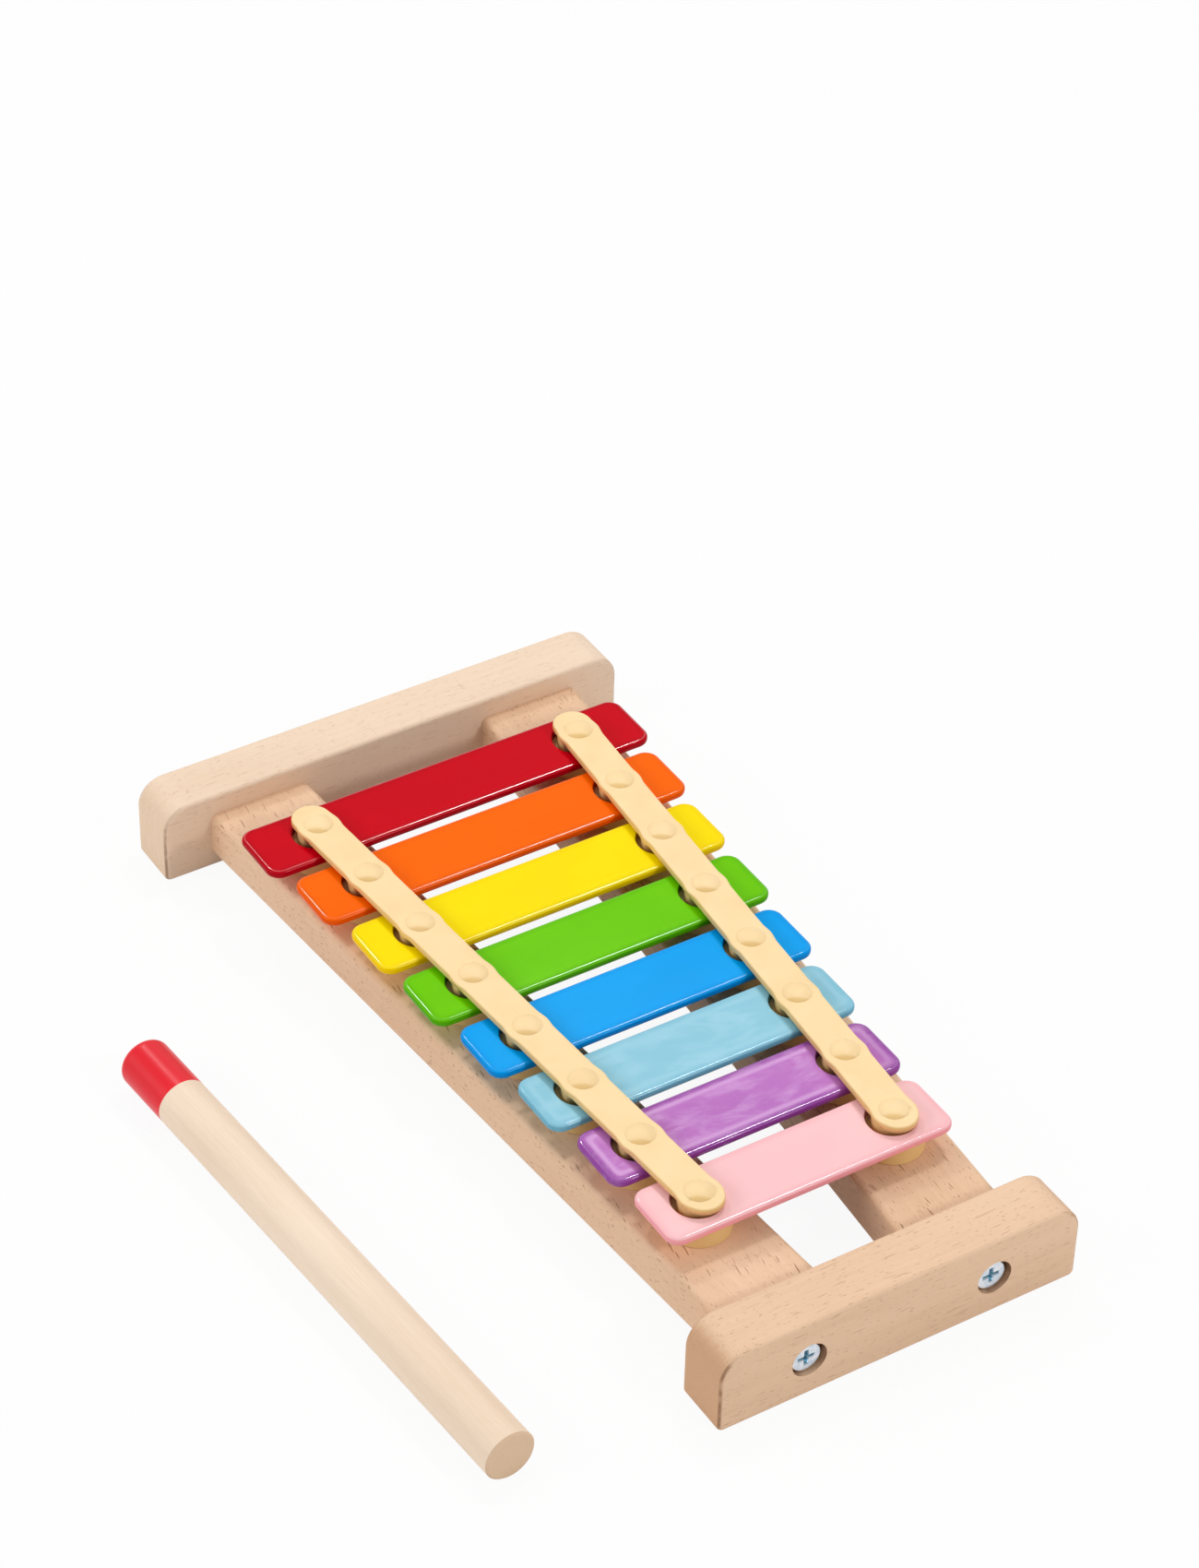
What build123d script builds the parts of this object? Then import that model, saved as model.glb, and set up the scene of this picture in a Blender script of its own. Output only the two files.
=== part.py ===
from build123d import *
from math import asin, atan, cos, degrees, hypot, radians, sin
import os

# Toy bar instrument: two beech end blocks joined by two converging rails, eight enamelled
# metal bars on round feet, two moulded straps over the bars, and a plain stick mallet.
# X runs along the instrument with the low note at -X. The player sits at -Y. Z is up.

# End blocks
block_thickness = 18.4
block_height = 27.4
low_block_length = 163.8
high_block_length = 119.6
block_top_radius = 9.0
block_bottom_radius = 2.0
block_edge_ease = 1.4

# Rails
rail_width = 33.8
rail_thickness = 15.3
rail_clearance = 5.0
rail_edge_radius = 2.0

# Bars
bar_names = ("red", "orange", "yellow", "green", "blue", "light_blue", "purple", "pink")
bar_length_shares = (1.0, 0.945, 0.895, 0.865, 0.818, 0.773, 0.729, 0.707)
low_bar_length = 135.2
bar_width = 23.4
bar_thickness = 2.8
bar_gap = 4.24
bar_corner_radius = 4.6
bar_edge_radius = 1.15
low_end_gap = 22.6
high_end_gap = 23.74
first_support_share = 0.6853
last_support_share = 0.6841
bar_hole_clearance = 1.0
bar_settle_share = 0.42
bar_settle_side_shares = (0.58, 0.5, 0.3, 0.5, 0.4, 0.58, 0.54, 0.44)
hole_edge_radius = 0.4

# Feet under the bars
foot_diameter = 19.6
foot_height = 6.7
foot_edge_radius = 0.5

# Straps, each a strip with round bosses below and low domes on top
strap_width = 12.5
strap_thickness = 2.0
strap_bar_gap = 1.4
strap_low_tail = 3.8
strap_high_tail = 1.8
strap_edge_radius = 0.7
boss_diameter = 13.0
dome_diameter = 8.6
dome_height = 1.45
dome_rim_height = 0.2

# Screws through the end blocks into the rail ends
screw_head_diameter = 10.0
screw_head_thickness = 2.4
screw_head_edge = 0.6
screw_shank_diameter = 4.5
screw_bite = 24.0
screw_recess_diameter = 11.3
screw_recess_shift = 0.4
screw_sink = 1.2
screw_outset = 0.65
screw_row_shift = 0.3
screw_height_share = 0.55
cross_span = 5.6
cross_arm = 1.5
cross_depth = 1.5
cross_taper = 20

# Screws up through rail and foot into each strap boss
pin_head_diameter = 6.6
pin_head_thickness = 1.8
pin_shank_diameter = 3.2
pin_bite = 4.6
pin_recess_diameter = 8.0
pin_recess_depth = 3.0
pin_cross_span = 3.6
pin_cross_arm = 1.0
pin_cross_depth = 1.1

# One radial fit for every screw in its hole
screw_fit = 0.05

# Mallet
mallet_diameter = 16.0
mallet_length = 190.4
mallet_turn = 3.93
mallet_tip_inset = 94.8
mallet_stand_off = 47.2
mallet_tip_radius = 2.6
mallet_end_ease = 0.6
coat_length = 22.9
coat_thickness = 0.4

# How far every cut runs past the face it leaves by
overrun = 1.0

# Sizes that follow from those above
bar_count = len(bar_names)
bar_pitch = bar_width + bar_gap
inner_length = low_end_gap + bar_count * bar_pitch - bar_gap + high_end_gap
overall_length = inner_length + 2 * block_thickness
low_face = -overall_length / 2
high_face = overall_length / 2
low_inner = low_face + block_thickness
high_inner = high_face - block_thickness
rail_top = rail_clearance + rail_thickness
bar_bottom = rail_top + foot_height
bar_top = bar_bottom + bar_thickness
strap_bottom = bar_top + strap_bar_gap
strap_top = strap_bottom + strap_thickness
screw_height = rail_clearance + rail_thickness * screw_height_share
settle_x = bar_hole_clearance * bar_settle_share

# The mallet lies in front of the instrument, so the instrument's centre line is off the origin
turn = radians(mallet_turn)
mallet_radius = mallet_diameter / 2
tip_from_line = -low_block_length / 2 - mallet_stand_off
tip_flat = mallet_radius - mallet_tip_radius
front_edge = tip_from_line + mallet_tip_radius * sin(turn) - tip_flat * cos(turn) - mallet_tip_radius
centre_line = -(low_block_length / 2 + front_edge) / 2
tip_x = low_face + mallet_tip_inset
tip_y = centre_line + tip_from_line

# The rails run under the bars' supports, which lie at a share of the half length of each end bar
first_support = low_bar_length / 2 * bar_length_shares[0] * first_support_share
last_support = low_bar_length / 2 * bar_length_shares[-1] * last_support_share
rail_slope = (first_support - last_support) / (bar_pitch * (bar_count - 1))
rail_turn = atan(rail_slope)
rail_low_offset = first_support + rail_slope * (low_end_gap + bar_width / 2)
rail_high_offset = last_support - rail_slope * (high_end_gap + bar_width / 2)
rail_reach = rail_width / 2 / cos(rail_turn)


def bar_place(index):
    return low_inner + low_end_gap + bar_width / 2 + index * bar_pitch


def rail_offset(x):
    return rail_low_offset - rail_slope * (x - low_inner)


boss_x = [bar_place(i) for i in range(bar_count)]

os.makedirs("parts", exist_ok=True)


def cross(span, arm):
    # A cross-shaped screw recess in the current sketch
    Rectangle(span, arm)
    Rectangle(arm, span)


# Low end block: rounded outline drawn across the instrument, then eased all round
with BuildPart() as end_block_low:
    with BuildSketch(Plane.YZ.offset(low_face)) as outline:
        with Locations((centre_line, block_height / 2)):
            Rectangle(low_block_length, block_height)
        fillet(outline.vertices().group_by(Axis.Y)[-1], radius=block_top_radius)
        fillet(outline.vertices().group_by(Axis.Y)[0], radius=block_bottom_radius)
    extrude(amount=block_thickness)
    broad = end_block_low.faces().filter_by(Axis.X)
    fillet(broad.edges(), radius=block_edge_ease)
    for side in (-1, 1):
        screw_y = centre_line + side * (rail_low_offset + screw_outset) - screw_row_shift
        with BuildSketch(Plane.YZ.offset(low_face)):
            with Locations((screw_y + screw_recess_shift, screw_height)):
                Circle(screw_recess_diameter / 2)
        extrude(amount=screw_sink + screw_head_thickness, mode=Mode.SUBTRACT)
        with BuildSketch(Plane.YZ.offset(low_face)):
            with Locations((screw_y, screw_height)):
                Circle(screw_shank_diameter / 2 + screw_fit)
        extrude(amount=block_thickness + overrun, mode=Mode.SUBTRACT)
end_block_low.part.label = "end_block_low"
export_step(end_block_low.part, "parts/end_block_low.step")

# High end block, the same section and shorter
with BuildPart() as end_block_high:
    with BuildSketch(Plane.YZ.offset(high_inner)) as outline:
        with Locations((centre_line, block_height / 2)):
            Rectangle(high_block_length, block_height)
        fillet(outline.vertices().group_by(Axis.Y)[-1], radius=block_top_radius)
        fillet(outline.vertices().group_by(Axis.Y)[0], radius=block_bottom_radius)
    extrude(amount=block_thickness)
    broad = end_block_high.faces().filter_by(Axis.X)
    fillet(broad.edges(), radius=block_edge_ease)
    for side in (-1, 1):
        screw_y = centre_line + side * (rail_high_offset + screw_outset) - screw_row_shift
        with BuildSketch(Plane.YZ.offset(high_face)):
            with Locations((screw_y + screw_recess_shift, screw_height)):
                Circle(screw_recess_diameter / 2)
        extrude(amount=-screw_sink - screw_head_thickness, mode=Mode.SUBTRACT)
        with BuildSketch(Plane.YZ.offset(high_face)):
            with Locations((screw_y, screw_height)):
                Circle(screw_shank_diameter / 2 + screw_fit)
        extrude(amount=-block_thickness - overrun, mode=Mode.SUBTRACT)
end_block_high.part.label = "end_block_high"
export_step(end_block_high.part, "parts/end_block_high.step")

# Rails: straight bars of wood whose ends are cut to meet the blocks flat
for rail_name, side in (("rail_front", -1), ("rail_back", 1)):
    with BuildPart() as rail:
        with BuildSketch(Plane.XY.offset(rail_clearance)):
            with BuildLine():
                Polyline(
                    (low_inner, centre_line + side * rail_low_offset - rail_reach),
                    (high_inner, centre_line + side * rail_high_offset - rail_reach),
                    (high_inner, centre_line + side * rail_high_offset + rail_reach),
                    (low_inner, centre_line + side * rail_low_offset + rail_reach),
                    close=True,
                )
            make_face()
        extrude(amount=rail_thickness)
        upper = rail.faces().sort_by(Axis.Z)[-1]
        lower = rail.faces().sort_by(Axis.Z)[0]
        long_edges = (upper.edges() + lower.edges()).filter_by(Axis.Y, reverse=True)
        fillet(long_edges, radius=rail_edge_radius)
        # Holes for the screws that come in through the blocks
        low_screw_y = centre_line + side * (rail_low_offset + screw_outset) - screw_row_shift
        high_screw_y = centre_line + side * (rail_high_offset + screw_outset) - screw_row_shift
        with BuildSketch(Plane.YZ.offset(low_inner)):
            with Locations((low_screw_y, screw_height)):
                Circle(screw_shank_diameter / 2 + screw_fit)
        extrude(amount=screw_bite + screw_fit, mode=Mode.SUBTRACT)
        with BuildSketch(Plane.YZ.offset(high_inner)):
            with Locations((high_screw_y, screw_height)):
                Circle(screw_shank_diameter / 2 + screw_fit)
        extrude(amount=-screw_bite - screw_fit, mode=Mode.SUBTRACT)
        # Holes from below for the screws that hold the straps
        boss_places = [(x, centre_line + side * rail_offset(x)) for x in boss_x]
        with BuildSketch(Plane.XY.offset(rail_clearance)):
            with Locations(*boss_places):
                Circle(pin_recess_diameter / 2)
        extrude(amount=pin_recess_depth, mode=Mode.SUBTRACT)
        with BuildSketch(Plane.XY.offset(rail_clearance)):
            with Locations(*boss_places):
                Circle(pin_shank_diameter / 2 + screw_fit)
        extrude(amount=rail_thickness + overrun, mode=Mode.SUBTRACT)
    rail.part.label = rail_name
    export_step(rail.part, "parts/" + rail_name + ".step")

# Feet: round pads on the rails, one under each bar end
for side_name, side in (("front", -1), ("back", 1)):
    for bar_name, x in zip(bar_names, boss_x):
        foot_centre = (x, centre_line + side * rail_offset(x))
        with BuildPart() as foot:
            with BuildSketch(Plane.XY.offset(rail_top)):
                with Locations(foot_centre):
                    Circle(foot_diameter / 2)
            extrude(amount=foot_height)
            fillet(foot.edges(), radius=foot_edge_radius)
            with BuildSketch(Plane.XY.offset(rail_top)):
                with Locations(foot_centre):
                    Circle(pin_shank_diameter / 2 + screw_fit)
            extrude(amount=foot_height + overrun, mode=Mode.SUBTRACT)
        foot_name = "foot_" + side_name + "_" + bar_name
        foot.part.label = foot_name
        export_step(foot.part, "parts/" + foot_name + ".step")

# Bars: flat enamelled plates with rounded ends and edges, each resting a little off its bosses
for bar_name, share, side_share, x in zip(bar_names, bar_length_shares, bar_settle_side_shares, boss_x):
    bar_x = x - settle_x
    bar_y = centre_line - bar_hole_clearance * side_share
    with BuildPart() as bar:
        with BuildSketch(Plane.XY.offset(bar_bottom)) as outline:
            with Locations((bar_x, bar_y)):
                Rectangle(bar_width, low_bar_length * share)
            fillet(outline.vertices(), radius=bar_corner_radius)
        extrude(amount=bar_thickness)
        rims = bar.faces().filter_by(Axis.Z).edges()
        fillet(rims, radius=bar_edge_radius)
        hole_places = [(bar_x, bar_y + side * rail_offset(x)) for side in (-1, 1)]
        with BuildSketch(Plane.XY.offset(bar_bottom)):
            with Locations(*hole_places):
                Circle(boss_diameter / 2 + bar_hole_clearance)
        extrude(amount=bar_thickness + overrun, mode=Mode.SUBTRACT)
        mouths = bar.faces().sort_by(Axis.Z)[-1].inner_wires().edges()
        fillet(mouths, radius=hole_edge_radius)
    bar.part.label = "bar_" + bar_name
    export_step(bar.part, "parts/bar_" + bar_name + ".step")

# Straps: a strip over the bars, a round boss down through each bar, a low dome over each boss
dome_radius = dome_diameter / 2
dome_rise = dome_height - dome_rim_height
dome_ball = (dome_radius ** 2 + dome_rise ** 2) / (2 * dome_rise)
dome_half_turn = asin(dome_radius / dome_ball) / 2
dome_mid_run = dome_ball * sin(dome_half_turn)
dome_mid_drop = dome_ball * (1 - cos(dome_half_turn))
for strap_name, side in (("strap_front", -1), ("strap_back", 1)):
    centres = [(x, centre_line + side * rail_offset(x)) for x in boss_x]
    low_x = boss_x[0] - strap_low_tail * cos(rail_turn)
    high_x = boss_x[-1] + strap_high_tail * cos(rail_turn)
    low_y = centre_line + side * rail_offset(low_x)
    high_y = centre_line + side * rail_offset(high_x)
    run = hypot(high_x - low_x, high_y - low_y)
    middle = ((low_x + high_x) / 2, (low_y + high_y) / 2)
    with BuildPart() as strap:
        with BuildSketch(Plane.XY.offset(strap_bottom)):
            with Locations(Location(middle, -side * degrees(rail_turn))):
                SlotCenterToCenter(run, strap_width)
        extrude(amount=strap_thickness)
        top_edges = strap.faces().sort_by(Axis.Z)[-1].edges()
        fillet(top_edges, radius=strap_edge_radius)
        with BuildSketch(Plane.XY.offset(bar_bottom)):
            with Locations(*centres):
                Circle(boss_diameter / 2)
        extrude(amount=strap_bottom - bar_bottom)
        for x, y in centres:
            with BuildSketch(Plane(origin=(x, y, strap_top), x_dir=(1, 0, 0), z_dir=(0, -1, 0))):
                with BuildLine():
                    Line((0, dome_height), (0, -strap_thickness / 2))
                    Line((0, -strap_thickness / 2), (dome_radius, -strap_thickness / 2))
                    Line((dome_radius, -strap_thickness / 2), (dome_radius, dome_rim_height))
                    ThreePointArc(
                        (dome_radius, dome_rim_height),
                        (dome_mid_run, dome_height - dome_mid_drop),
                        (0, dome_height),
                    )
                make_face()
            revolve(axis=Axis((x, y, 0), (0, 0, 1)), revolution_arc=360)
        with BuildSketch(Plane.XY.offset(bar_bottom)):
            with Locations(*centres):
                Circle(pin_shank_diameter / 2 + screw_fit)
        extrude(amount=pin_bite + screw_fit, mode=Mode.SUBTRACT)
    strap.part.label = strap_name
    export_step(strap.part, "parts/" + strap_name + ".step")

# End screws: flat round heads sunk in the blocks, shanks into the rail ends
screw_length = block_thickness - screw_sink - screw_head_thickness + screw_bite
for group_name, face_x, inward_way, offset_y in (
    ("end_screws_low", low_face, 1, rail_low_offset),
    ("end_screws_high", high_face, -1, rail_high_offset),
):
    with BuildPart() as end_screws:
        for side in (-1, 1):
            screw_y = centre_line + side * (offset_y + screw_outset) - screw_row_shift
            head_x = face_x + inward_way * screw_sink
            seat_x = head_x + inward_way * screw_head_thickness
            with BuildSketch(Plane.YZ.offset(head_x)):
                with Locations((screw_y, screw_height)):
                    Circle(screw_head_diameter / 2)
            extrude(amount=inward_way * screw_head_thickness)
            with BuildSketch(Plane.YZ.offset(seat_x)):
                with Locations((screw_y, screw_height)):
                    Circle(screw_shank_diameter / 2)
            extrude(amount=inward_way * screw_length)
        outer = end_screws.faces().filter_by(Axis.X).group_by(Axis.X)[0 if inward_way > 0 else -1]
        fillet(outer.edges(), radius=screw_head_edge)
        for side in (-1, 1):
            screw_y = centre_line + side * (offset_y + screw_outset) - screw_row_shift
            head_x = face_x + inward_way * screw_sink
            head_centre = (head_x, screw_y, screw_height)
            with BuildSketch(Plane(origin=head_centre, x_dir=(0, 1, 0), z_dir=(-inward_way, 0, 0))):
                cross(cross_span, cross_arm)
            extrude(amount=-cross_depth, taper=cross_taper, mode=Mode.SUBTRACT)
    end_screws.part.label = group_name
    export_step(end_screws.part, "parts/" + group_name + ".step")

# Strap screws: up from below through each rail and foot, into the bosses
pin_seat = rail_clearance + pin_recess_depth
for group_name, side in (("strap_screws_front", -1), ("strap_screws_back", 1)):
    centres = [(x, centre_line + side * rail_offset(x)) for x in boss_x]
    with BuildPart() as strap_screws:
        with BuildSketch(Plane.XY.offset(pin_seat)):
            with Locations(*centres):
                Circle(pin_head_diameter / 2)
        extrude(amount=-pin_head_thickness)
        with BuildSketch(Plane.XY.offset(pin_seat)):
            with Locations(*centres):
                Circle(pin_shank_diameter / 2)
        extrude(amount=bar_bottom + pin_bite - pin_seat)
        with BuildSketch(Plane.XY.offset(pin_seat - pin_head_thickness)):
            with Locations(*centres):
                cross(pin_cross_span, pin_cross_arm)
        extrude(amount=pin_cross_depth, mode=Mode.SUBTRACT)
    strap_screws.part.label = group_name
    export_step(strap_screws.part, "parts/" + group_name + ".step")

# Mallet stick: a dowel lying on the table, its dipped end sanded down by the coat
axis_plane = Plane(
    origin=(tip_x, tip_y, mallet_radius),
    x_dir=(cos(turn), sin(turn), 0),
    z_dir=(sin(turn), -cos(turn), 0),
)
axis_line = Axis((tip_x, tip_y, mallet_radius), (cos(turn), sin(turn), 0))
core_radius = mallet_radius - coat_thickness
core_tip_radius = mallet_tip_radius - coat_thickness
arc_share = cos(radians(45))
with BuildPart() as mallet_stick:
    with BuildSketch(axis_plane):
        with BuildLine():
            Line((coat_thickness, 0), (mallet_length, 0))
            Line((mallet_length, 0), (mallet_length, mallet_radius - mallet_end_ease))
            Line(
                (mallet_length, mallet_radius - mallet_end_ease),
                (mallet_length - mallet_end_ease, mallet_radius),
            )
            Line((mallet_length - mallet_end_ease, mallet_radius), (coat_length, mallet_radius))
            Line((coat_length, mallet_radius), (coat_length, core_radius))
            Line((coat_length, core_radius), (mallet_tip_radius, core_radius))
            ThreePointArc(
                (mallet_tip_radius, core_radius),
                (
                    mallet_tip_radius - core_tip_radius * arc_share,
                    tip_flat + core_tip_radius * arc_share,
                ),
                (coat_thickness, tip_flat),
            )
            Line((coat_thickness, tip_flat), (coat_thickness, 0))
        make_face()
    revolve(axis=axis_line, revolution_arc=360)
mallet_stick.part.label = "mallet_stick"
export_step(mallet_stick.part, "parts/mallet_stick.step")

# Mallet coat: the thick red dip over the tip, flush with the dowel
with BuildPart() as mallet_coat:
    with BuildSketch(axis_plane):
        with BuildLine():
            Line((0, 0), (0, tip_flat))
            ThreePointArc(
                (0, tip_flat),
                (
                    mallet_tip_radius - mallet_tip_radius * arc_share,
                    tip_flat + mallet_tip_radius * arc_share,
                ),
                (mallet_tip_radius, mallet_radius),
            )
            Line((mallet_tip_radius, mallet_radius), (coat_length, mallet_radius))
            Line((coat_length, mallet_radius), (coat_length, core_radius))
            Line((coat_length, core_radius), (mallet_tip_radius, core_radius))
            ThreePointArc(
                (mallet_tip_radius, core_radius),
                (
                    mallet_tip_radius - core_tip_radius * arc_share,
                    tip_flat + core_tip_radius * arc_share,
                ),
                (coat_thickness, tip_flat),
            )
            Line((coat_thickness, tip_flat), (coat_thickness, 0))
            Line((coat_thickness, 0), (0, 0))
        make_face()
    revolve(axis=axis_line, revolution_arc=360)
mallet_coat.part.label = "mallet_coat"
export_step(mallet_coat.part, "parts/mallet_coat.step")
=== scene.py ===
import math

import bmesh
import bpy
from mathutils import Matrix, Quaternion, Vector


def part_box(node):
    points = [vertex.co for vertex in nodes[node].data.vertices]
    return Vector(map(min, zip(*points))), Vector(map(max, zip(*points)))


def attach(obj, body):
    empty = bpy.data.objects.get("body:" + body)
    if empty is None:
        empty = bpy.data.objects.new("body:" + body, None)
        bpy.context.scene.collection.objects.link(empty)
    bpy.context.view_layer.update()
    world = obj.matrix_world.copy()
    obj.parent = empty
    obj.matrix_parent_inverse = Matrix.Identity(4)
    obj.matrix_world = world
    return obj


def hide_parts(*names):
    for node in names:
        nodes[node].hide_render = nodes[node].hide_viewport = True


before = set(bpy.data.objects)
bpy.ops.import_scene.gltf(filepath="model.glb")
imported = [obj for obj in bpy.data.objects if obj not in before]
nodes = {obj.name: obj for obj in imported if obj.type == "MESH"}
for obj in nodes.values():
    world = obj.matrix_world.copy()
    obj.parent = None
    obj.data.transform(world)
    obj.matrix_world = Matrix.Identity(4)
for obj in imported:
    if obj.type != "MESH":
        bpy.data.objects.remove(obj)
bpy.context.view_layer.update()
MM = 0.001

# The bars, low note first: enamel, its deeper colour (cloudy tone, and painted shade on the rounded
# edges and walls), unevenness, how much the colour deepens towards the edge, clear pool on the edge,
# and glassy patches
BAR_ENAMEL = {
    "red": ((206, 0, 24), (168, 0, 20), 0.8, 0.5, 1.0, 0.0),
    "orange": ((255, 106, 0), (232, 84, 0), 0.8, 0.35, 0.5, 0.0),
    "yellow": ((255, 229, 0), (246, 198, 0), 0.8, 0.35, 0.4, 0.0),
    "green": ((112, 206, 0), (74, 164, 0), 0.8, 0.4, 0.5, 0.0),
    "blue": ((0, 166, 246), (0, 132, 216), 0.8, 0.4, 0.3, 0.0),
    "light_blue": ((146, 204, 223), (104, 172, 200), 2.2, 0.3, 0.4, 0.24),
    "purple": ((194, 122, 198), (132, 44, 146), 2.4, 0.9, 1.0, 0.42),
    "pink": ((255, 205, 207), (248, 158, 168), 0.8, 0.35, 0.6, 0.0),
}
# How far each rail is turned towards the other, and how far the mallet is turned from X
RAIL_TURN = math.atan(0.0706)
MALLET_TURN = math.radians(3.93)


def paint(red, green, blue):
    """A colour as it is seen on a screen, turned into the light values that a shader takes."""
    def light(value):
        value = value / 255
        return value / 12.92 if value <= 0.04045 else ((value + 0.055) / 1.055) ** 2.4
    return (light(red), light(green), light(blue), 1.0)


# Node helpers

def add(tree, kind, **settings):
    """A new node of this kind."""
    node = tree.nodes.new("ShaderNode" + kind)
    for name, value in settings.items():
        setattr(node, name, value)
    return node


def plug(tree, socket, value):
    """Links an input to another node's output, or sets it to a plain value."""
    if isinstance(value, bpy.types.NodeSocket):
        tree.links.new(value, socket)
    elif value is not None:
        socket.default_value = value


def feed(tree, node, **values):
    """Plugs a node's inputs by name. Underscores stand for blanks."""
    for name, value in values.items():
        plug(tree, node.inputs[name.replace("_", " ")], value)
    return node


def sums(tree, operation, first, second=None, third=None, clamp=False):
    """Arithmetic on plain numbers."""
    node = add(tree, "Math", operation=operation, use_clamp=clamp)
    for socket, value in zip(node.inputs, (first, second, third)):
        plug(tree, socket, value)
    return node.outputs[0]


def places(tree, operation, first, second=None, scale=None):
    """Arithmetic on places and directions."""
    node = add(tree, "VectorMath", operation=operation)
    for socket, value in zip(node.inputs, (first, second)):
        plug(tree, socket, value)
    if scale is not None:
        node.inputs["Scale"].default_value = scale
    return node.outputs["Value" if operation in ("DOT_PRODUCT", "LENGTH") else "Vector"]


def stretched(tree, place, along, across, upwards):
    """A place with each of its axes stretched. The finer the pattern, the larger the number."""
    return places(tree, "MULTIPLY", place, (along, across, upwards))


def split(tree, place):
    """A place's X, Y and Z."""
    node = add(tree, "SeparateXYZ")
    tree.links.new(place, node.inputs[0])
    return node.outputs


def rise(tree, value, low, high, to_low=0.0, to_high=1.0):
    """Carries a value from one range to another with a soft start and stop."""
    node = add(tree, "MapRange", interpolation_type="SMOOTHSTEP")
    tree.links.new(value, node.inputs["Value"])
    for socket, number in zip(list(node.inputs)[1:5], (low, high, to_low, to_high)):
        socket.default_value = number
    return node.outputs["Result"]


def blend_of(tree, share, first, second):
    """One colour laid over another by a share."""
    node = add(tree, "Mix", data_type="RGBA")
    for number, value in ((0, share), (6, first), (7, second)):
        plug(tree, node.inputs[number], value)
    return node.outputs[2]


def mottle(tree, place, scale, detail=2.0, roughness=0.5):
    """Soft uneven clouds from 0 to 1."""
    node = add(tree, "TexNoise")
    feed(tree, node, Vector=place, Scale=scale, Detail=detail, Roughness=roughness)
    return node.outputs["Fac"]


def new_group(name, inputs, outputs):
    """An empty shader group with named sockets. Gives the tree, its input and its output node."""
    tree = bpy.data.node_groups.new(name, "ShaderNodeTree")
    kinds = {"vector": "NodeSocketVector", "number": "NodeSocketFloat", "colour": "NodeSocketColor"}
    for label, kind, value in inputs:
        socket = tree.interface.new_socket(label, in_out="INPUT", socket_type=kinds[kind])
        if value is not None:
            socket.default_value = value
    for label, kind in outputs:
        tree.interface.new_socket(label, in_out="OUTPUT", socket_type=kinds[kind])
    return tree, tree.nodes.new("NodeGroupInput"), tree.nodes.new("NodeGroupOutput")


# Shared effects

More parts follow.
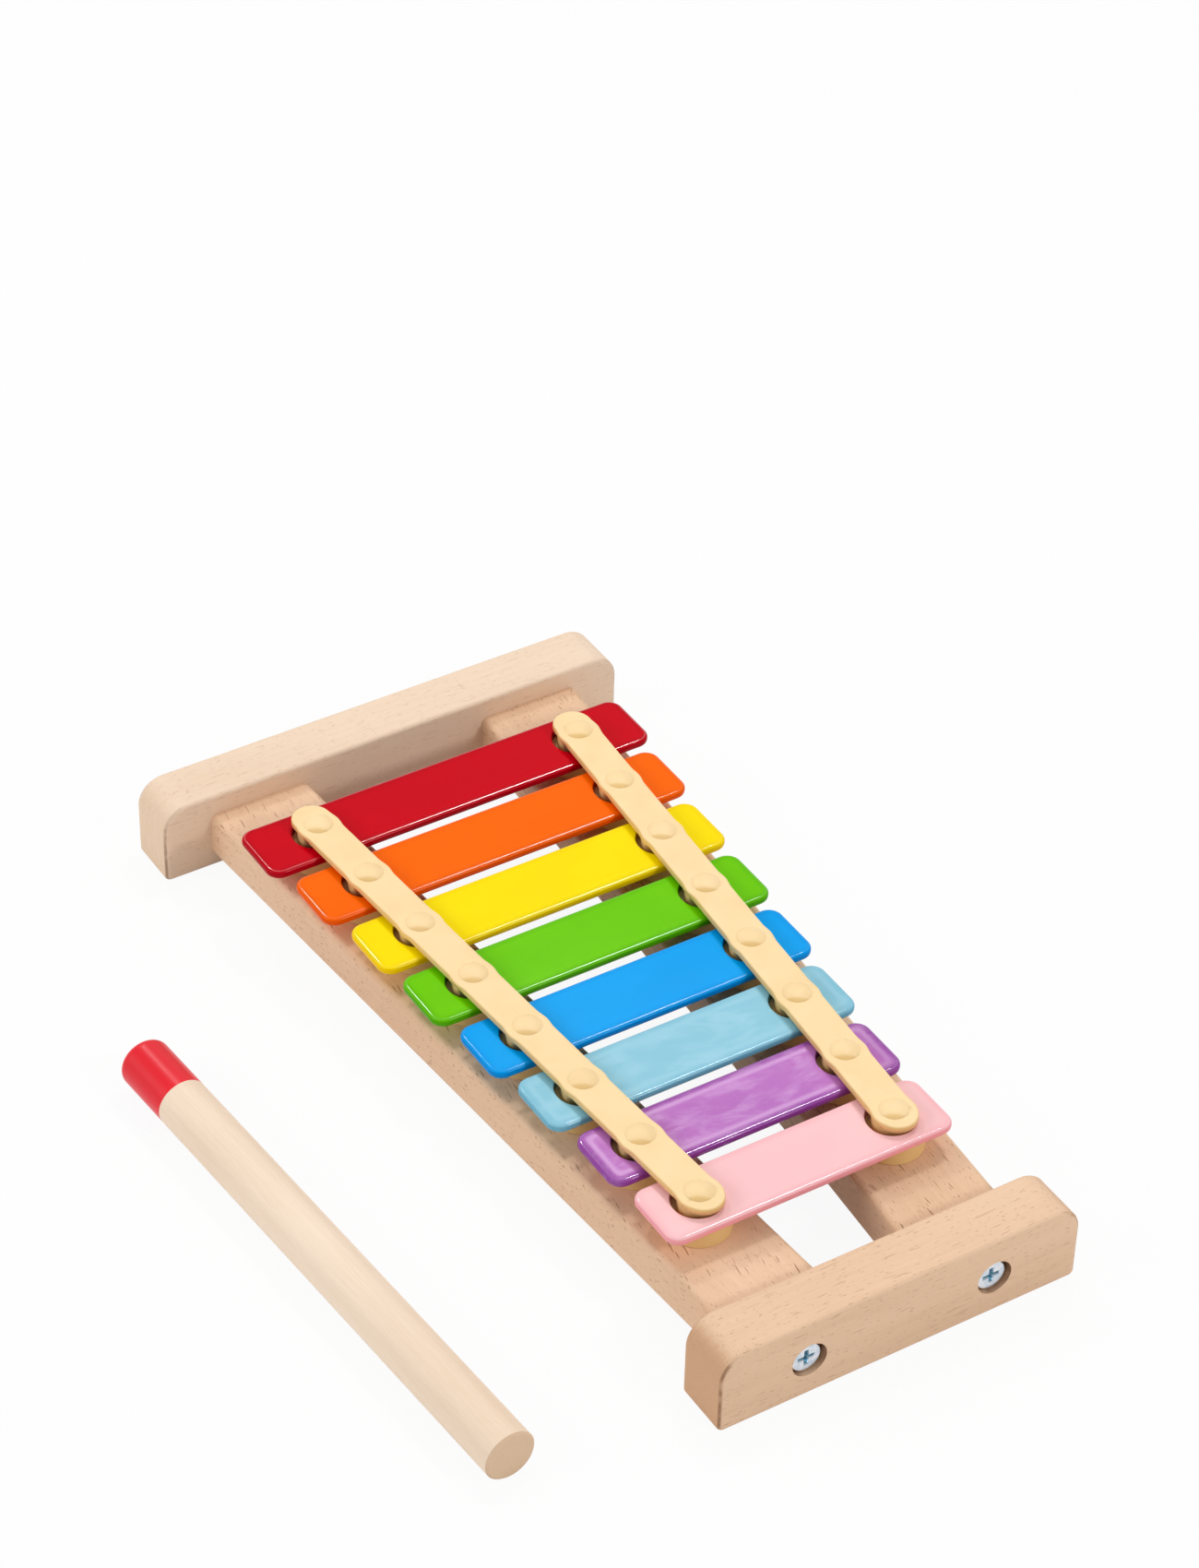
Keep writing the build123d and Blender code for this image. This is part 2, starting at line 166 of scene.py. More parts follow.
def make_beech_grain():
    """Straight-grained beech. Place is in millimetres, X along the grain and the pith to one side."""
    tree, given, result = new_group(
        "Beech grain",
        [
            ("Place", "vector", None),
            ("Stroke Place", "vector", None),
            ("End Cut", "number", 0.0),
            ("Burn", "number", 0.0),
            ("Pale", "colour", (0.8, 0.6, 0.4, 1)),
            ("Deep", "colour", (0.6, 0.4, 0.25, 1)),
            ("Fleck", "colour", (0.4, 0.22, 0.1, 1)),
            ("Burnt", "colour", (0.25, 0.12, 0.05, 1)),
            ("Ring Step", "number", 2.4),
            ("Ring Weight", "number", 0.3),
            ("Stroke Weight", "number", 0.6),
            ("Fleck Weight", "number", 0.6),
            ("End Weight", "number", 0.5),
        ],
        [("Color", "colour"), ("Roughness", "number"), ("Height", "number")],
    )
    g = given.outputs
    place = g["Place"]
    # Slow wander of the grain along the board
    drift = add(tree, "TexNoise")
    slow = stretched(tree, place, 0.012, 0.03, 0.03)
    feed(tree, drift, Vector=slow, Scale=1.0, Detail=1.0)
    sway = places(tree, "SUBTRACT", drift.outputs["Color"], (0.5, 0.5, 0.5))
    swayed = places(tree, "ADD", place, places(tree, "SCALE", sway, scale=9.0))
    # Growth rings as shells about the pith
    across = stretched(tree, swayed, 0.0, 1.0, 1.0)
    shell = sums(tree, "DIVIDE", places(tree, "LENGTH", across), g["Ring Step"])
    phase = sums(tree, "FRACT", shell)
    late = rise(tree, phase, 0.3, 0.9)
    fade = rise(tree, phase, 0.9, 1.0, 1.0, 0.0)
    ring = sums(tree, "MULTIPLY", late, fade)
    patchy = mottle(tree, stretched(tree, place, 0.02, 0.2, 0.2), 1.0)
    ring = sums(tree, "MULTIPLY", ring, rise(tree, patchy, 0.3, 0.7, 0.2, 1.0))
    ring = sums(tree, "MULTIPLY", ring, g["Ring Weight"])
    # Fine fibres
    fibre = mottle(tree, stretched(tree, place, 0.07, 1.9, 1.9), 1.0, 3.0, 0.6)
    fibre = sums(tree, "MULTIPLY", sums(tree, "SUBTRACT", fibre, 0.5), 0.6)
    # Broad warm and cool patches
    broad = mottle(tree, stretched(tree, place, 0.012, 0.05, 0.05), 1.0, 1.0)
    broad = sums(tree, "MULTIPLY", sums(tree, "SUBTRACT", broad, 0.5), 0.8)
    # A cut end is a little darker, with streaks across its growth
    streak = mottle(tree, stretched(tree, place, 0.4, 1.5, 0.12), 1.0, 2.0, 0.6)
    streak = sums(tree, "MULTIPLY", sums(tree, "SUBTRACT", streak, 0.35), g["End Cut"])
    shade = sums(tree, "ADD", sums(tree, "ADD", ring, fibre), broad)
    shade = sums(tree, "ADD", shade, sums(tree, "MULTIPLY", g["End Cut"], g["End Weight"]))
    shade = sums(tree, "ADD", shade, sums(tree, "MULTIPLY", streak, 0.9))
    shade = sums(tree, "ADD", shade, 0.18, clamp=True)
    wood = blend_of(tree, shade, g["Pale"], g["Deep"])
    # Ray flecks: long fine strokes and short ticks, each darker than the wood round it
    marks = None
    for source, stretch, size, low, weight in (
        (g["Stroke Place"], 0.055, 0.95, 0.09, g["Stroke Weight"]),
        (g["Stroke Place"], 0.09, 1.25, 0.10, g["Stroke Weight"]),
        (swayed, 0.2, 1.5, 0.11, g["Fleck Weight"]),
        (swayed, 0.33, 2.3, 0.12, g["Fleck Weight"]),
    ):
        cells = add(tree, "TexVoronoi", feature="F1", distance="EUCLIDEAN")
        spread = stretched(tree, source, stretch, size, size)
        feed(tree, cells, Vector=spread, Scale=1.0, Randomness=1.0)
        dash = rise(tree, cells.outputs["Distance"], low, low + 0.09, 1.0, 0.0)
        pick = add(tree, "SeparateColor")
        tree.links.new(cells.outputs["Color"], pick.inputs[0])
        dash = sums(tree, "MULTIPLY", dash, rise(tree, pick.outputs[0], 0.25, 0.9))
        dash = sums(tree, "MULTIPLY", dash, weight)
        marks = dash if marks is None else sums(tree, "MAXIMUM", marks, dash)
    side = sums(tree, "SUBTRACT", 1.0, g["End Cut"], clamp=True)
    marks = sums(tree, "MULTIPLY", marks, side)
    # Cut ends show the pores as fine dots
    pores = mottle(tree, place, 2.6, 2.0, 0.6)
    dots = sums(tree, "MULTIPLY", rise(tree, pores, 0.52, 0.72), g["End Cut"])
    wood = blend_of(tree, sums(tree, "MULTIPLY", dots, 0.25), wood, g["Fleck"])
    wood = blend_of(tree, marks, wood, g["Fleck"])
    # Scorch left by the cutter, uneven along its length
    scorch = mottle(tree, place, 0.13, 2.0, 0.6)
    scorch = sums(tree, "MULTIPLY", rise(tree, scorch, 0.4, 0.62, 0.3, 1.0), g["Burn"])
    wood = blend_of(tree, scorch, wood, g["Burnt"])
    tree.links.new(wood, result.inputs["Color"])
    rough = sums(tree, "ADD", sums(tree, "MULTIPLY", shade, 0.12), 0.46)
    rough = sums(tree, "ADD", rough, sums(tree, "MULTIPLY", g["End Cut"], 0.12))
    tree.links.new(rough, result.inputs["Roughness"])
    height = sums(tree, "MULTIPLY", fibre, -0.6)
    height = sums(tree, "SUBTRACT", height, sums(tree, "MULTIPLY", marks, 0.8))
    height = sums(tree, "SUBTRACT", height, sums(tree, "MULTIPLY", ring, 0.4))
    tree.links.new(height, result.inputs["Height"])
    return tree


def make_enamel_flow():
    """Enamel that has flowed: long soft waves, and a deeper colour where the Rim mask is set, which
    carries painted shade on the rounded edge.
    """
    tree, given, result = new_group(
        "Enamel flow",
        [
            ("Place", "vector", None),
            ("Rim", "number", 0.0),
            ("Enamel", "colour", (0.8, 0.1, 0.1, 1)),
            ("Rim Enamel", "colour", (0.6, 0.05, 0.05, 1)),
            ("Ripple", "number", 1.0),
            ("Satin", "number", 0.0),
            ("Pooled", "number", 0.0),
            ("Patches", "number", 0.0),
        ],
        [("Color", "colour"), ("Roughness", "number"), ("Coat", "number"), ("Height", "number")],
    )
    g = given.outputs
    place = g["Place"]
    wave = mottle(tree, stretched(tree, place, 0.11, 0.05, 0.11), 1.0, 1.0)
    ripple = mottle(tree, stretched(tree, place, 0.32, 0.2, 0.32), 1.0, 2.0, 0.55)
    flow = sums(tree, "ADD", wave, sums(tree, "MULTIPLY", ripple, 0.4))
    tree.links.new(sums(tree, "MULTIPLY", flow, g["Ripple"]), result.inputs["Height"])
    cloud = mottle(tree, stretched(tree, place, 0.05, 0.03, 0.05), 1.0, 2.0)
    tone = rise(tree, cloud, 0.3, 0.7, 0.0, 0.14)
    # The Rim mask lays on the deeper colour, which carries painted shade on the bars' edges
    tone = sums(tree, "ADD", tone, sums(tree, "MULTIPLY", g["Rim"], 0.8), clamp=True)
    colour = blend_of(tree, tone, g["Enamel"], g["Rim Enamel"])
    tree.links.new(colour, result.inputs["Color"])
    specks = rise(tree, mottle(tree, place, 1.6, 2.0, 0.6), 0.3, 0.8, 0.11, 0.18)
    tree.links.new(sums(tree, "ADD", specks, g["Satin"]), result.inputs["Roughness"])
    # A clear pool of enamel stands on the rounded edge. Some coats have glassy patches on the flat
    warped = places(tree, "ADD", stretched(tree, place, 0.12, 0.045, 0.12), wave)
    glassy = rise(tree, mottle(tree, warped, 1.4, 6.0, 0.7), 0.42, 0.66)
    coat = sums(tree, "MAXIMUM", g["Pooled"], sums(tree, "MULTIPLY", glassy, g["Patches"]))
    tree.links.new(coat, result.inputs["Coat"])
    return tree


def make_moulded_skin():
    """Soft moulded plastic: a fine satin skin with faint cloudy tone, and painted shade laid on by the
    wall input.
    """
    tree, given, result = new_group(
        "Moulded skin",
        [
            ("Place", "vector", None),
            ("Wall", "number", 0.0),
            ("Colour", "colour", (0.9, 0.7, 0.4, 1)),
            ("Shadow", "colour", (0.8, 0.5, 0.2, 1)),
        ],
        [("Color", "colour"), ("Roughness", "number"), ("Height", "number")],
    )
    g = given.outputs
    cloud = mottle(tree, g["Place"], 0.09, 2.0)
    # Random cloud tone and the painted wall shade both lean the colour towards the shadow colour
    tone = sums(tree, "ADD", rise(tree, cloud, 0.3, 0.75, 0.0, 0.22), g["Wall"], clamp=True)
    tree.links.new(blend_of(tree, tone, g["Colour"], g["Shadow"]), result.inputs["Color"])
    satin = mottle(tree, g["Place"], 3.2, 3.0, 0.6)
    tree.links.new(rise(tree, satin, 0.25, 0.8, 0.38, 0.56), result.inputs["Roughness"])
    lumps = mottle(tree, g["Place"], 0.35, 2.0)
    lumps = sums(tree, "ADD", lumps, sums(tree, "MULTIPLY", satin, 0.12))
    tree.links.new(lumps, result.inputs["Height"])
    return tree


def make_plating():
    """Bright zinc plating: faint turning marks, tiny cool and warm patches, and painted shade where
    Deep is set.
    """
    tree, given, result = new_group(
        "Zinc plating",
        [
            ("Place", "vector", None),
            ("Deep", "number", 0.0),
            ("Bright", "colour", (0.7, 0.72, 0.78, 1)),
            ("Cool", "colour", (0.5, 0.6, 0.75, 1)),
            ("Dark", "colour", (0.04, 0.09, 0.1, 1)),
        ],
        [("Color", "colour"), ("Roughness", "number"), ("Height", "number")],
    )
    g = given.outputs
    patch = mottle(tree, g["Place"], 0.5, 3.0, 0.6)
    bright = blend_of(tree, rise(tree, patch, 0.3, 0.7), g["Bright"], g["Cool"])
    # Painted shade: the dark colour is laid where Deep is set
    tree.links.new(blend_of(tree, g["Deep"], bright, g["Dark"]), result.inputs["Color"])
    scuff = mottle(tree, g["Place"], 2.5, 3.0, 0.7)
    tree.links.new(rise(tree, scuff, 0.2, 0.8, 0.2, 0.42), result.inputs["Roughness"])
    tree.links.new(scuff, result.inputs["Height"])
    return tree


BEECH = make_beech_grain()
ENAMEL = make_enamel_flow()
MOULDED = make_moulded_skin()
PLATING = make_plating()


# Materials

def blank(name):
    """A material that holds only its shader and its output."""
    material = bpy.data.materials.new(name)
    material.use_nodes = True
    tree = material.node_tree
    tree.nodes.clear()
    out = tree.nodes.new("ShaderNodeOutputMaterial")
    shader = tree.nodes.new("ShaderNodeBsdfPrincipled")
    tree.links.new(shader.outputs[0], out.inputs["Surface"])
    return material, tree, shader


def placed(tree, turn=0.0, shift=(0, 0, 0)):
    """The piece's own coordinates in millimetres, turned so that X runs along its grain."""
    own = add(tree, "TexCoord").outputs["Object"]
    mapping = add(tree, "Mapping", vector_type="POINT")
    feed(tree, mapping, Vector=own, Rotation=(0, 0, -turn), Scale=(1 / MM, 1 / MM, 1 / MM))
    return places(tree, "ADD", mapping.outputs["Vector"], shift)


def grouped(tree, group, **values):
    """A node that holds a shared effect."""
    node = tree.nodes.new("ShaderNodeGroup")
    node.node_tree = group
    return feed(tree, node, **values)


def clothe(tree, shader, skin, relief):
    """Carries a skin's colour, roughness and height to the shader. Relief is the height's depth."""
    tree.links.new(skin.outputs["Color"], shader.inputs["Base Color"])
    tree.links.new(skin.outputs["Roughness"], shader.inputs["Roughness"])
    bump = feed(tree, add(tree, "Bump"), Strength=1.0, Distance=relief, Height=skin.outputs["Height"])
    tree.links.new(bump.outputs["Normal"], shader.inputs["Normal"])


def facing_of(tree):
    """The way a surface faces."""
    return add(tree, "NewGeometry").outputs["Normal"]


def level_of(tree):
    """How nearly a surface lies level: 1 on the flat and 0 on an upright wall."""
    return sums(tree, "ABSOLUTE", places(tree, "DOT_PRODUCT", facing_of(tree), (0, 0, 1)))


def beech(name, turn, shift, pale, deep, fleck, ring_step, ring_weight, stroke_weight,
          fleck_weight, stroke_turn=0.0, end_weight=0.5, burn_of=None):
    """Beech whose grain is turned by this angle from X. Shift is where on the plank it was cut."""
    material, tree, shader = blank(name)
    facing = facing_of(tree)
    along = (math.cos(turn), math.sin(turn), 0)
    end_cut = sums(tree, "ABSOLUTE", places(tree, "DOT_PRODUCT", facing, along))
    grain = grouped(
        tree, BEECH,
        Place=placed(tree, turn, shift), Stroke_Place=placed(tree, turn + stroke_turn, shift),
        End_Cut=rise(tree, end_cut, 0.35, 0.9), Burn=burn_of(tree, facing) if burn_of else 0.0,
        Pale=paint(*pale), Deep=paint(*deep), Fleck=paint(*fleck), Burnt=paint(122, 76, 48),
        Ring_Step=ring_step, Ring_Weight=ring_weight, Stroke_Weight=stroke_weight,
        Fleck_Weight=fleck_weight, End_Weight=end_weight,
    )
    clothe(tree, shader, grain, 0.05 * MM)
    shader.inputs["Specular IOR Level"].default_value = 0.25
    return material


# A screw head's radius, and how far the scorch in its recess reaches from the screw's middle
HEAD_RADIUS, SCORCH_REACH = 5.0 * MM, 6.6 * MM


def block_burn(screws):
    """Scorch on an end block: on the eased edges at its cut ends, and in its two screw recesses."""
    low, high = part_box(screws)

    def burn_of(tree, facing):
        faces = split(tree, facing)
        slope = sums(tree, "ABSOLUTE", faces["X"])
        eased = sums(tree, "MULTIPLY", rise(tree, slope, 0.25, 0.5),
                     rise(tree, slope, 0.8, 0.97, 1.0, 0.0))
        at_end = rise(tree, sums(tree, "ABSOLUTE", faces["Y"]), 0.15, 0.45)
        burn = sums(tree, "MULTIPLY", sums(tree, "MULTIPLY", eased, at_end), 0.65)
        wall = rise(tree, slope, 0.3, 0.6, 1.0, 0.0)
        where = split(tree, add(tree, "TexCoord").outputs["Object"])
        up = sums(tree, "ABSOLUTE", sums(tree, "SUBTRACT", where["Z"], (low[2] + high[2]) / 2))
        for middle in (low[1] + HEAD_RADIUS, high[1] - HEAD_RADIUS):
            off = sums(tree, "ABSOLUTE", sums(tree, "SUBTRACT", where["Y"], middle))
            near = sums(tree, "LESS_THAN", sums(tree, "MAXIMUM", off, up), SCORCH_REACH)
            scorched = sums(tree, "MULTIPLY", sums(tree, "MULTIPLY", near, wall), 0.7)
            burn = sums(tree, "MAXIMUM", burn, scorched)
        return burn
    return burn_of


# How far in from a bar's edge, in millimetres: where the tone deepens, and where the band that
# stands higher on a thick coat starts and ends. Then that band's coat, and how round the corners are
RIM_FADE = 0.6, 3.4
BAND_START, BAND_END = (2.0, 2.9), (3.4, 4.8)
BAND_COAT = 3.2
CORNER = 3.0


def inset_of(tree, plate):
    """How far in from a bar's edge a place lies, in millimetres, rounded at the bar's corners."""
    low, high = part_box(plate)
    where = split(tree, placed(tree))
    ways_in = []
    for axis in (0, 1):
        middle, half = (low[axis] + high[axis]) / 2 / MM, (high[axis] - low[axis]) / 2 / MM
        off = sums(tree, "ABSOLUTE", sums(tree, "SUBTRACT", where[axis], middle))
        ways_in.append(sums(tree, "SUBTRACT", half, off))
    return sums(tree, "SMOOTH_MIN", *ways_in, CORNER)


def enamel(name, plate, colour, rim, ripple, fade, pool, patches):
    """Enamel on one bar. It deepens by the given fade over the last millimetres to the bar's edge."""
    material, tree, shader = blank(name)
    level = level_of(tree)
    inset = inset_of(tree, plate)
    # Painted shade: rounded edges and upright walls take the deeper colour by how far they tilt from
    # level; the last millimetres inside the edge also deepen by the fade
    edge = rise(tree, level, 0.35, 0.97, 1.0, 0.0)
    edge = sums(tree, "MAXIMUM", edge, rise(tree, inset, *RIM_FADE, fade, 0.0))
    # Clear enamel pools on the rounded edge, and a thick coat also in a band just inside it
    pooled = sums(tree, "MULTIPLY", rise(tree, level, 0.985, 0.9975, 1.0, 0.0),
                  rise(tree, level, 0.86, 0.95, 0.0, pool))
    band = sums(tree, "MULTIPLY", rise(tree, inset, *BAND_START),
                rise(tree, inset, *BAND_END, 1.0, 0.0))
    band = sums(tree, "MULTIPLY", band, BAND_COAT * patches ** 2)
    pooled = sums(tree, "MAXIMUM", pooled, band)
    skin = grouped(tree, ENAMEL, Place=placed(tree), Rim=edge, Enamel=paint(*colour),
                   Rim_Enamel=paint(*rim), Ripple=ripple, Satin=0.15 * patches, Pooled=pooled,
                   Patches=patches)
    clothe(tree, shader, skin, 0.06 * MM)
    tree.links.new(skin.outputs["Coat"], shader.inputs["Coat Weight"])
    shader.inputs["Coat Roughness"].default_value = 0.1
    shader.inputs["Coat IOR"].default_value = 1.8
    shader.inputs["Specular IOR Level"].default_value = 0.06
    return material


# Round a dome's middle, in millimetres: the dome's edge, the edge of the painted shade crescent at its
# foot, and where that painted shade starts. The painted shade lies to one side only, and its direction
# is this turn from X
DOME_EDGE, CRESCENT_SHADE_EDGE, CRESCENT_SHADE_START = (4.5, 4.9), (4.3, 4.7), (2.4, 3.8)
CRESCENT_SHADE_TURN = math.radians(-33)


def dome_places(tree, first, last):
    """Masks for a strap's evenly spaced domes: each dome, and a painted shade crescent at its foot."""
    run = last - first
    turn = math.atan2(run.y, run.x)
    step = run.length / (len(BAR_ENAMEL) - 1) / MM
    start = (first.x * math.cos(turn) + first.y * math.sin(turn)) / MM
    line = (first.y * math.cos(turn) - first.x * math.sin(turn)) / MM
    where = split(tree, placed(tree, turn))
    along = sums(tree, "DIVIDE", sums(tree, "SUBTRACT", where["X"], start), step)
    along = sums(tree, "SUBTRACT", along, sums(tree, "ROUND", along))
    along = sums(tree, "MULTIPLY", along, step)
    across = sums(tree, "SUBTRACT", where["Y"], line)
    offset = feed(tree, add(tree, "CombineXYZ"), X=along, Y=across)
    reach = places(tree, "LENGTH", offset.outputs[0])
    crescent_shade_turn = CRESCENT_SHADE_TURN - turn
    side = sums(tree, "ADD", sums(tree, "MULTIPLY", along, math.cos(crescent_shade_turn)),
                sums(tree, "MULTIPLY", across, math.sin(crescent_shade_turn)))
    # Painted shade: a dark crescent on one side of each dome's foot
    crescent_shade = sums(tree, "MULTIPLY", rise(tree, side, *CRESCENT_SHADE_START),
                rise(tree, reach, *CRESCENT_SHADE_EDGE, 1.0, 0.0))
    return rise(tree, reach, *DOME_EDGE, 1.0, 0.0), crescent_shade


def moulded(name, colour, shadow, domes=None):
    """Moulded plastic with painted shade on its walls, and on a strap a painted shade crescent at one
    side of each dome. Domes holds a strap's first and last place.
    """
    material, tree, shader = blank(name)
    level = level_of(tree)
    # Painted shade: walls take the shadow colour by how far they tilt from level
    wall = rise(tree, level, 0.5, 0.96, 0.8, 0.0)
    if domes:
        dome, crescent_shade = dome_places(tree, *domes)
        # Domes are kept free of the painted wall shade
        dome = sums(tree, "MULTIPLY", dome, rise(tree, level, 0.0, 0.1))
        wall = sums(tree, "MULTIPLY", wall, sums(tree, "SUBTRACT", 1.0, dome))
        # A painted shade crescent is laid at one side of each dome's foot
        wall = sums(tree, "MAXIMUM", wall, sums(tree, "MULTIPLY", crescent_shade, 0.8))
    skin = grouped(tree, MOULDED, Place=placed(tree), Wall=wall, Colour=paint(*colour),
                   Shadow=paint(*shadow))
    clothe(tree, shader, skin, 0.04 * MM)
    shader.inputs["Specular IOR Level"].default_value = 0.3
    shader.inputs["Subsurface Weight"].default_value = 0.12
    shader.inputs["Subsurface Radius"].default_value = (1.0, 0.6, 0.3)
    shader.inputs["Subsurface Scale"].default_value = 0.0015
    return material


def zinc(name, axis, dark_at, bright_at):
    """Plated screw, painted dark as shade in its cross and along its sunk shank: dark and bright at
    these distances along the axis.
    """
    material, tree, shader = blank(name)
    where = split(tree, add(tree, "TexCoord").outputs["Object"])
    depth = sums(tree, "ABSOLUTE", where[axis])
    # Painted shade: darker past a given depth along the axis, in the cross recess and the sunk shank
    if dark_at < bright_at:
        deep = rise(tree, depth, dark_at, bright_at, 1.0, 0.0)
    else:
        deep = rise(tree, depth, bright_at, dark_at)
    skin = grouped(tree, PLATING, Place=placed(tree), Deep=deep, Bright=paint(232, 232, 236),
                   Cool=paint(196, 208, 220), Dark=paint(148, 178, 190))
    clothe(tree, shader, skin, 0.01 * MM)
    shader.inputs["Metallic"].default_value = 1.0
    return material


def dipped(name):
    """The mallet's glossy dipped coat."""
    material, tree, shader = blank(name)
    skin = grouped(tree, ENAMEL, Place=placed(tree), Enamel=paint(232, 18, 38),
                   Rim_Enamel=paint(200, 10, 30), Satin=0.2)
    clothe(tree, shader, skin, 0.05 * MM)
    shader.inputs["Specular IOR Level"].default_value = 0.3
    return material


def dress(node, material):
    """Gives a piece one material."""
    mesh = nodes[node].data
    mesh.materials.clear()
    mesh.materials.append(material)


CROSSWISE = math.pi / 2
# Each piece of beech: its wood's name, turn of the grain, place on the plank, pale, deep and fleck
# colours, ring step, and weights of rings, strokes and flecks. Then the turn of the strokes from the
# grain, the weight of the cut ends, and the scorch
WOOD = {
    "end_block_low": (
        "beech_low_block", CROSSWISE, (12, 40, -95), (242, 217, 192), (226, 195, 163), (182, 140, 104),
        2.6, 0.12, 0.4, 0.55, 0.0, 0.1, block_burn("end_screws_low")),
    "end_block_high": (
        "beech_high_block", CROSSWISE, (60, -30, -70), (238, 202, 169), (212, 169, 133), (160, 112, 76),
        3.0, 0.12, 0.5, 0.65, 0.0, 0.8, block_burn("end_screws_high")),
    "rail_front": (
        "beech_front_rail", RAIL_TURN, (5, 30, -28), (238, 202, 169), (216, 173, 136), (148, 98, 64),
        3.4, 0.1, 1.0, 0.6, math.radians(-13)),
    "rail_back": (
        "beech_back_rail", -RAIL_TURN, (90, -30, -60), (233, 196, 162), (206, 163, 126), (140, 90, 58),
        3.0, 0.1, 1.0, 0.8, math.radians(4)),
    "mallet_stick": (
        "beech_mallet", MALLET_TURN, (0, 150, -30), (248, 227, 204), (228, 196, 164), (190, 154, 122),
        4.2, 0.06, 0.08, 0.06, 0.0, 1.6),
}
for piece, finish in WOOD.items():
    dress(piece, beech(*finish))
dress("mallet_coat", dipped("dipped_red"))

for bar, finish in BAR_ENAMEL.items():
    dress("bar_" + bar, enamel("enamel_" + bar, "bar_" + bar, *finish))

# Straps: their colour and the colour of their painted shade, and the two levels that part the flat band
# from its domes and its bosses
STRAP_CREAM = (254, 223, 171), (232, 194, 128)
DOME_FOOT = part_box("strap_front")[1][2] - 1.4 * MM
STRAP_UNDERSIDE = DOME_FOOT - 2.0 * MM
DOME_RADIUS = 4.4 * MM
# The swelling beside each boss: how much, how far each way along the strap, how far its middle
# lies from the boss, and how many cuts shape each half
SWELL, SWELL_REACH, SWELL_SHIFT, SWELL_CUTS = 0.55 * MM, 4.6 * MM, 0.5 * MM, 6
TINY = 0.001 * MM
SHARP = math.radians(62)


def swollen_strap(name, first, last):
    """The strap as it comes from its mould: its long edges swell a little beside each boss."""
    run = last - first
    along = run.normalized()
    across = Vector((-along.y, along.x, 0))
    pitch = run.length / (len(BAR_ENAMEL) - 1)
    shape = bmesh.new()
    shape.from_mesh(nodes[name].data)
    bmesh.ops.remove_doubles(shape, verts=shape.verts, dist=TINY)
    centres = [first + along * (pitch * number + SWELL_SHIFT) for number in range(len(BAR_ENAMEL))]
    for centre in centres:
        for cut in range(-SWELL_CUTS, SWELL_CUTS + 1):
            band = [face for face in shape.faces
                    if STRAP_UNDERSIDE < face.calc_center_median().z < DOME_FOOT]
            band += dict.fromkeys(edge for face in band for edge in face.edges)
            bmesh.ops.bisect_plane(shape, geom=band, dist=TINY, plane_no=along,
                                   plane_co=centre + along * (SWELL_REACH * cut / SWELL_CUTS))
    half = max(abs((corner.co - first).dot(across)) for corner in shape.verts
               if corner.co.z > STRAP_UNDERSIDE)
    for corner in shape.verts:
        aside = (corner.co - first).dot(across)
        rim = (abs(aside) - DOME_RADIUS) / (half - DOME_RADIUS)
        if corner.co.z < STRAP_UNDERSIDE or rim <= 0:
            continue
        off = min(abs((corner.co - centre).dot(along)) for centre in centres) / SWELL_REACH
        if off < 1:
            swell = SWELL * rim * (1 + math.cos(math.pi * off)) / 2
            corner.co += across * math.copysign(swell, aside)
    mesh = bpy.data.meshes.new(name + "_swollen")
    shape.to_mesh(mesh)
    shape.free()
    mesh.polygons.foreach_set("use_smooth", [True] * len(mesh.polygons))
    mesh.set_sharp_from_angle(angle=SHARP)
    piece = bpy.data.objects.new(name + "_swollen", mesh)
    bpy.context.scene.collection.objects.link(piece)
    evened = piece.modifiers.new("evened", "WEIGHTED_NORMAL")
    evened.keep_sharp = True
    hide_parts(name)
    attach(piece, "frame")
    return piece


for side in ("front", "back"):
    ends = []
    for bar in ("red", "pink"):
        low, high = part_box(f"foot_{side}_{bar}")
        ends.append(Vector(((low[0] + high[0]) / 2, (low[1] + high[1]) / 2, 0)))
    cream = moulded("cream_strap_" + side, *STRAP_CREAM, ends)
    swollen_strap("strap_" + side, *ends).data.materials.append(cream)

# Feet and screws. The end screws' heads face outwards, and the strap screws' heads face down
head_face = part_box("end_screws_high")[1][0]
head_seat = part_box("strap_screws_front")[0][2]
FITTINGS = {
    # The feet's second colour is their painted shade on the walls
    "foot_": moulded("cream_foot", (240, 212, 156), (230, 196, 134)),
    "end_screws_": zinc("zinc_end_screw", "X", head_face - 0.5 * MM, head_face - 0.2 * MM),
    "strap_screws_": zinc("zinc_strap_screw", "Z", head_seat + 0.4 * MM, head_seat + 0.2 * MM),
}
for name in nodes:
    for start, finish in FITTINGS.items():
        if name.startswith(start):
            dress(name, finish)


# Camera: the photograph's place, aim, turn and lens
CAMERA_PLACE = Vector((0.82219, -0.504725, 0.88289))
CAMERA_AIM = Vector((-0.105634, 0.087532, 0.0))
CAMERA_ROLL = math.radians(1.436)
camera_data = bpy.data.cameras.new("camera")
camera_data.sensor_width = 36.0
camera_data.lens = 101.15
camera_data.clip_end = 20.0
camera = bpy.data.objects.new("camera", camera_data)
bpy.context.scene.collection.objects.link(camera)
camera.location = CAMERA_PLACE
look = (CAMERA_AIM - CAMERA_PLACE).to_track_quat("-Z", "Y")
camera.rotation_euler = (look @ Quaternion((0, 0, 1), CAMERA_ROLL)).to_euler()
bpy.context.scene.camera = camera


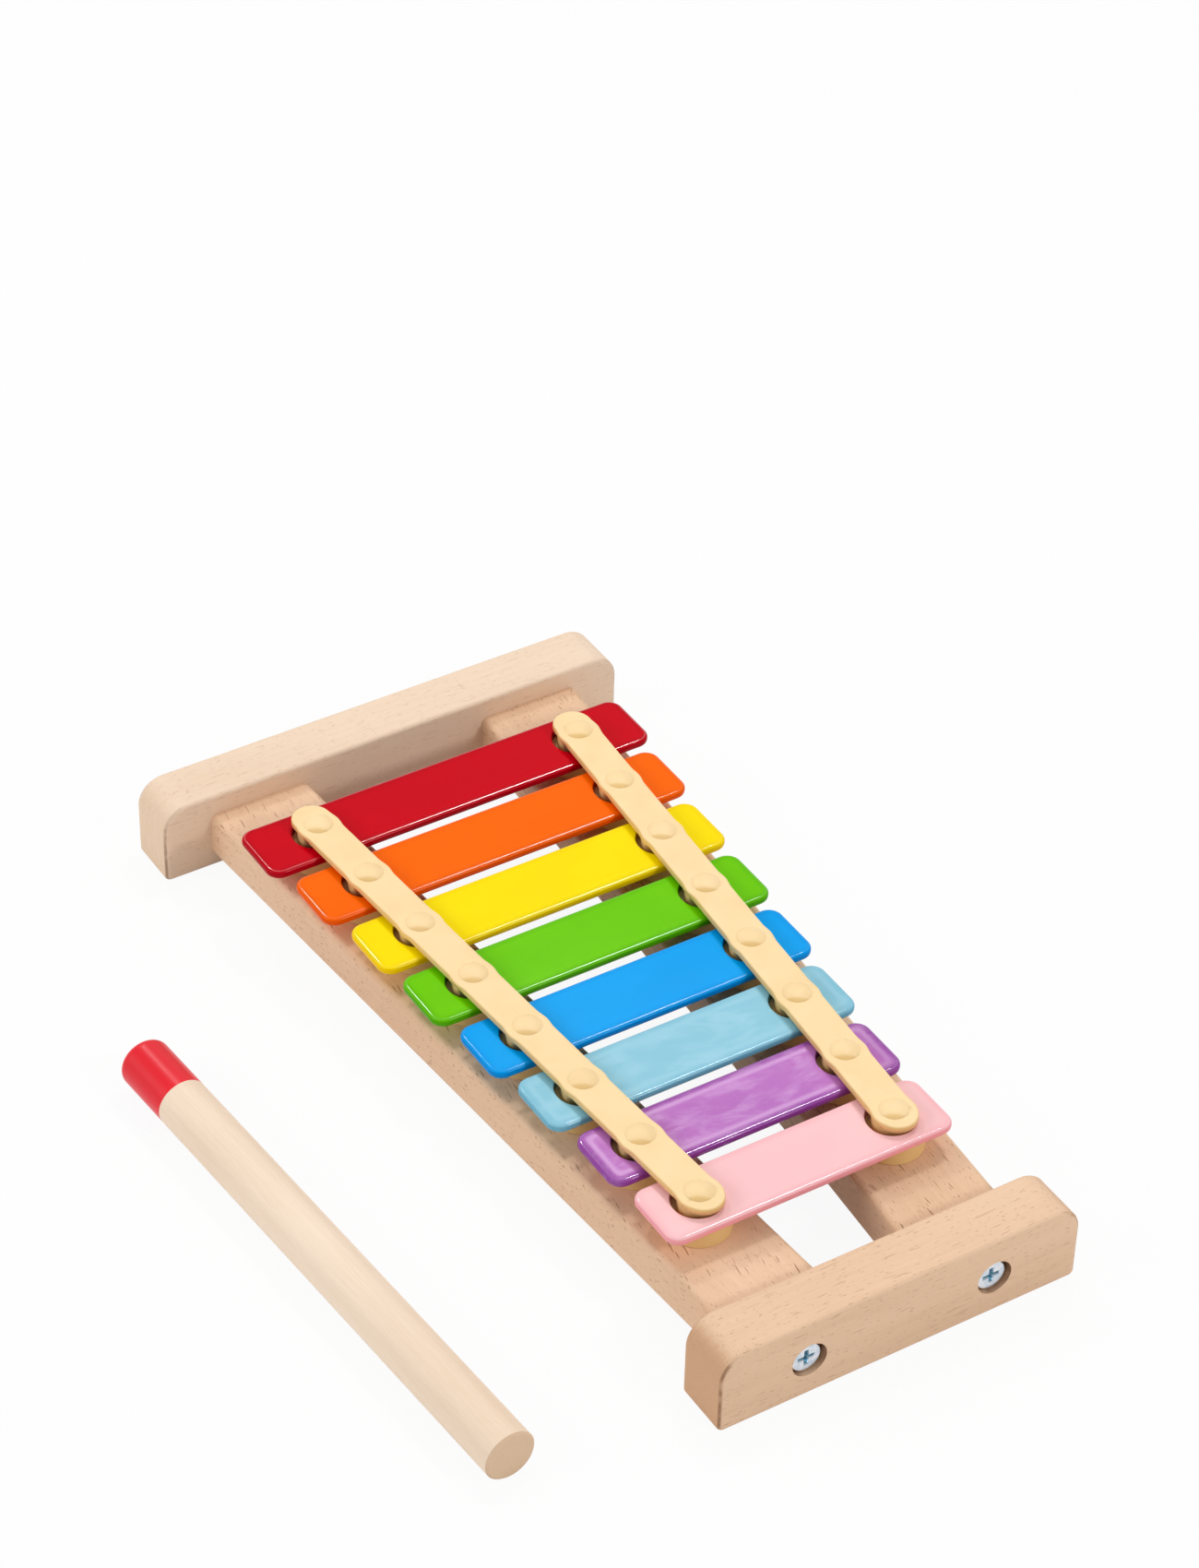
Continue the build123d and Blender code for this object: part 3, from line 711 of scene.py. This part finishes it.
# Studio: dim even light all round, two small lamps beyond the instrument and one at the right, a
# soft box at the player's side, and a weak lamp for the glare on the two unevenly coated bars
MIDDLE = (0, 0.02, 0)
GLARE_AIM = (0.075, 0, 0.03)
LAMPS = {   # place, aim, width, depth, power
    "back_left": ((-0.39, 0.63, 1.3), MIDDLE, 0.2, 0.2, 4.5),
    "far_left": ((-0.95, 0.05, 1.08), MIDDLE, 0.14, 0.14, 2.4),
    "front_right": ((1.05, 0.5, 0.85), MIDDLE, 0.2, 0.2, 4.9),
    "left_softbox": ((-0.35, -1.25, 0.75), MIDDLE, 0.9, 0.6, 7.1),
    "glare": ((-0.71, 0.53, 0.93), GLARE_AIM, 0.22, 0.22, 0.35),
}
for name, (place, aim, width, depth, power) in LAMPS.items():
    data = bpy.data.lights.new(name, "AREA")
    data.shape = "RECTANGLE"
    data.size, data.size_y = width, depth
    data.energy = power
    lamp = bpy.data.objects.new(name, data)
    bpy.context.scene.collection.objects.link(lamp)
    lamp.location = place
    lamp.rotation_euler = (Vector(aim) - Vector(place)).to_track_quat("-Z", "Y").to_euler()

# The even light's strength, the floor's half width and colour, and how much it shines of itself
AMBIENT = 0.45
FLOOR_HALF, FLOOR_LIFT = 3.0, 0.93
FLOOR_GREY = (0.86, 0.86, 0.86, 1)


def looked_at(tree):
    """1 as the camera sees it, straight, mirrored or through glass, and 0 as light on the part."""
    rays = add(tree, "LightPath").outputs
    seen = sums(tree, "MAXIMUM", rays["Is Camera Ray"], rays["Is Transmission Ray"])
    return sums(tree, "MAXIMUM", seen, rays["Is Glossy Ray"])


world = bpy.data.worlds.new("studio")
bpy.context.scene.world = world
world.use_nodes = True
air = world.node_tree
air.nodes.clear()
strength = feed(air, add(air, "MapRange"), Value=looked_at(air), To_Min=AMBIENT, To_Max=1.0)
sky = feed(air, add(air, "Background"), Color=(1, 1, 1, 1), Strength=strength.outputs["Result"])
air.links.new(sky.outputs[0], add(air, "OutputWorld").inputs["Surface"])

floor_mesh = bpy.data.meshes.new("floor")
shape = bmesh.new()
bmesh.ops.create_grid(shape, x_segments=1, y_segments=1, size=FLOOR_HALF)
shape.to_mesh(floor_mesh)
shape.free()
floor = bpy.data.objects.new("floor", floor_mesh)
bpy.context.scene.collection.objects.link(floor)
floor_paint = bpy.data.materials.new("floor_paint")
floor_paint.use_nodes = True
ground = floor_paint.node_tree
ground.nodes.clear()
matt = feed(ground, add(ground, "BsdfDiffuse"), Color=FLOOR_GREY)
glow = feed(ground, add(ground, "Emission"), Strength=1.0)
lift = add(ground, "MixShader")
lifted = sums(ground, "MULTIPLY", looked_at(ground), FLOOR_LIFT)
for socket, value in zip(lift.inputs, (lifted, matt.outputs[0], glow.outputs[0])):
    plug(ground, socket, value)
ground.links.new(lift.outputs[0], add(ground, "OutputMaterial").inputs["Surface"])
floor_mesh.materials.append(floor_paint)

bpy.context.scene.view_settings.view_transform = "Standard"
